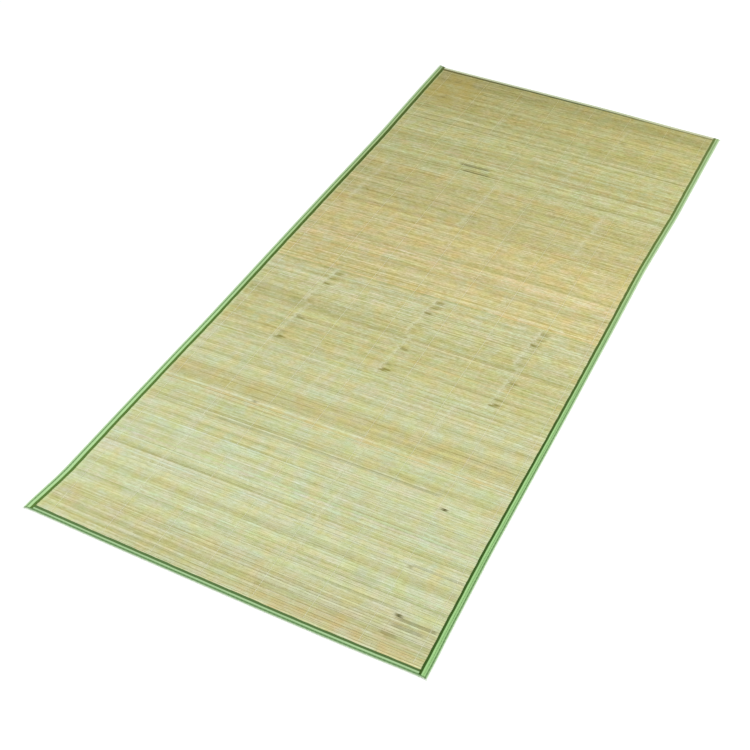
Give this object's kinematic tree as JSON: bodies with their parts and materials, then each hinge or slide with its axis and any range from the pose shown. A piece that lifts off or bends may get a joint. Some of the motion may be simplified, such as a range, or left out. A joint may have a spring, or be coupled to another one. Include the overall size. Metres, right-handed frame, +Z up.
{
  "type": "bamboo mat",
  "caption": "Thin flat rectangular floor mat of narrow crosswise bamboo slats tied by fine warp threads, its four edges bound with folded green cloth tape.",
  "frame": {"origin": "centre of the mat on the surface that it lies on", "axes": "+X across the mat along its slats, +Y along the mat to its far end, +Z up out of its upper face"},
  "size_m": [0.765, 1.8034, 0.0041],
  "materials": {
    "bamboo_slats": "split bamboo, straw to olive-tan in batches, low satin sheen",
    "cotton_thread": "fine off-white twisted cotton thread, matt",
    "green_tape": "ribbed green cotton tape with a dark green inner stripe and a dark turned edge, matt"
  },
  "bodies": {
    "root": {"slat_panel": "bamboo_slats", "binding_left": "green_tape", "binding_right": "green_tape", "binding_near": "green_tape", "binding_far": "green_tape"}
  },
  "joints": []
}
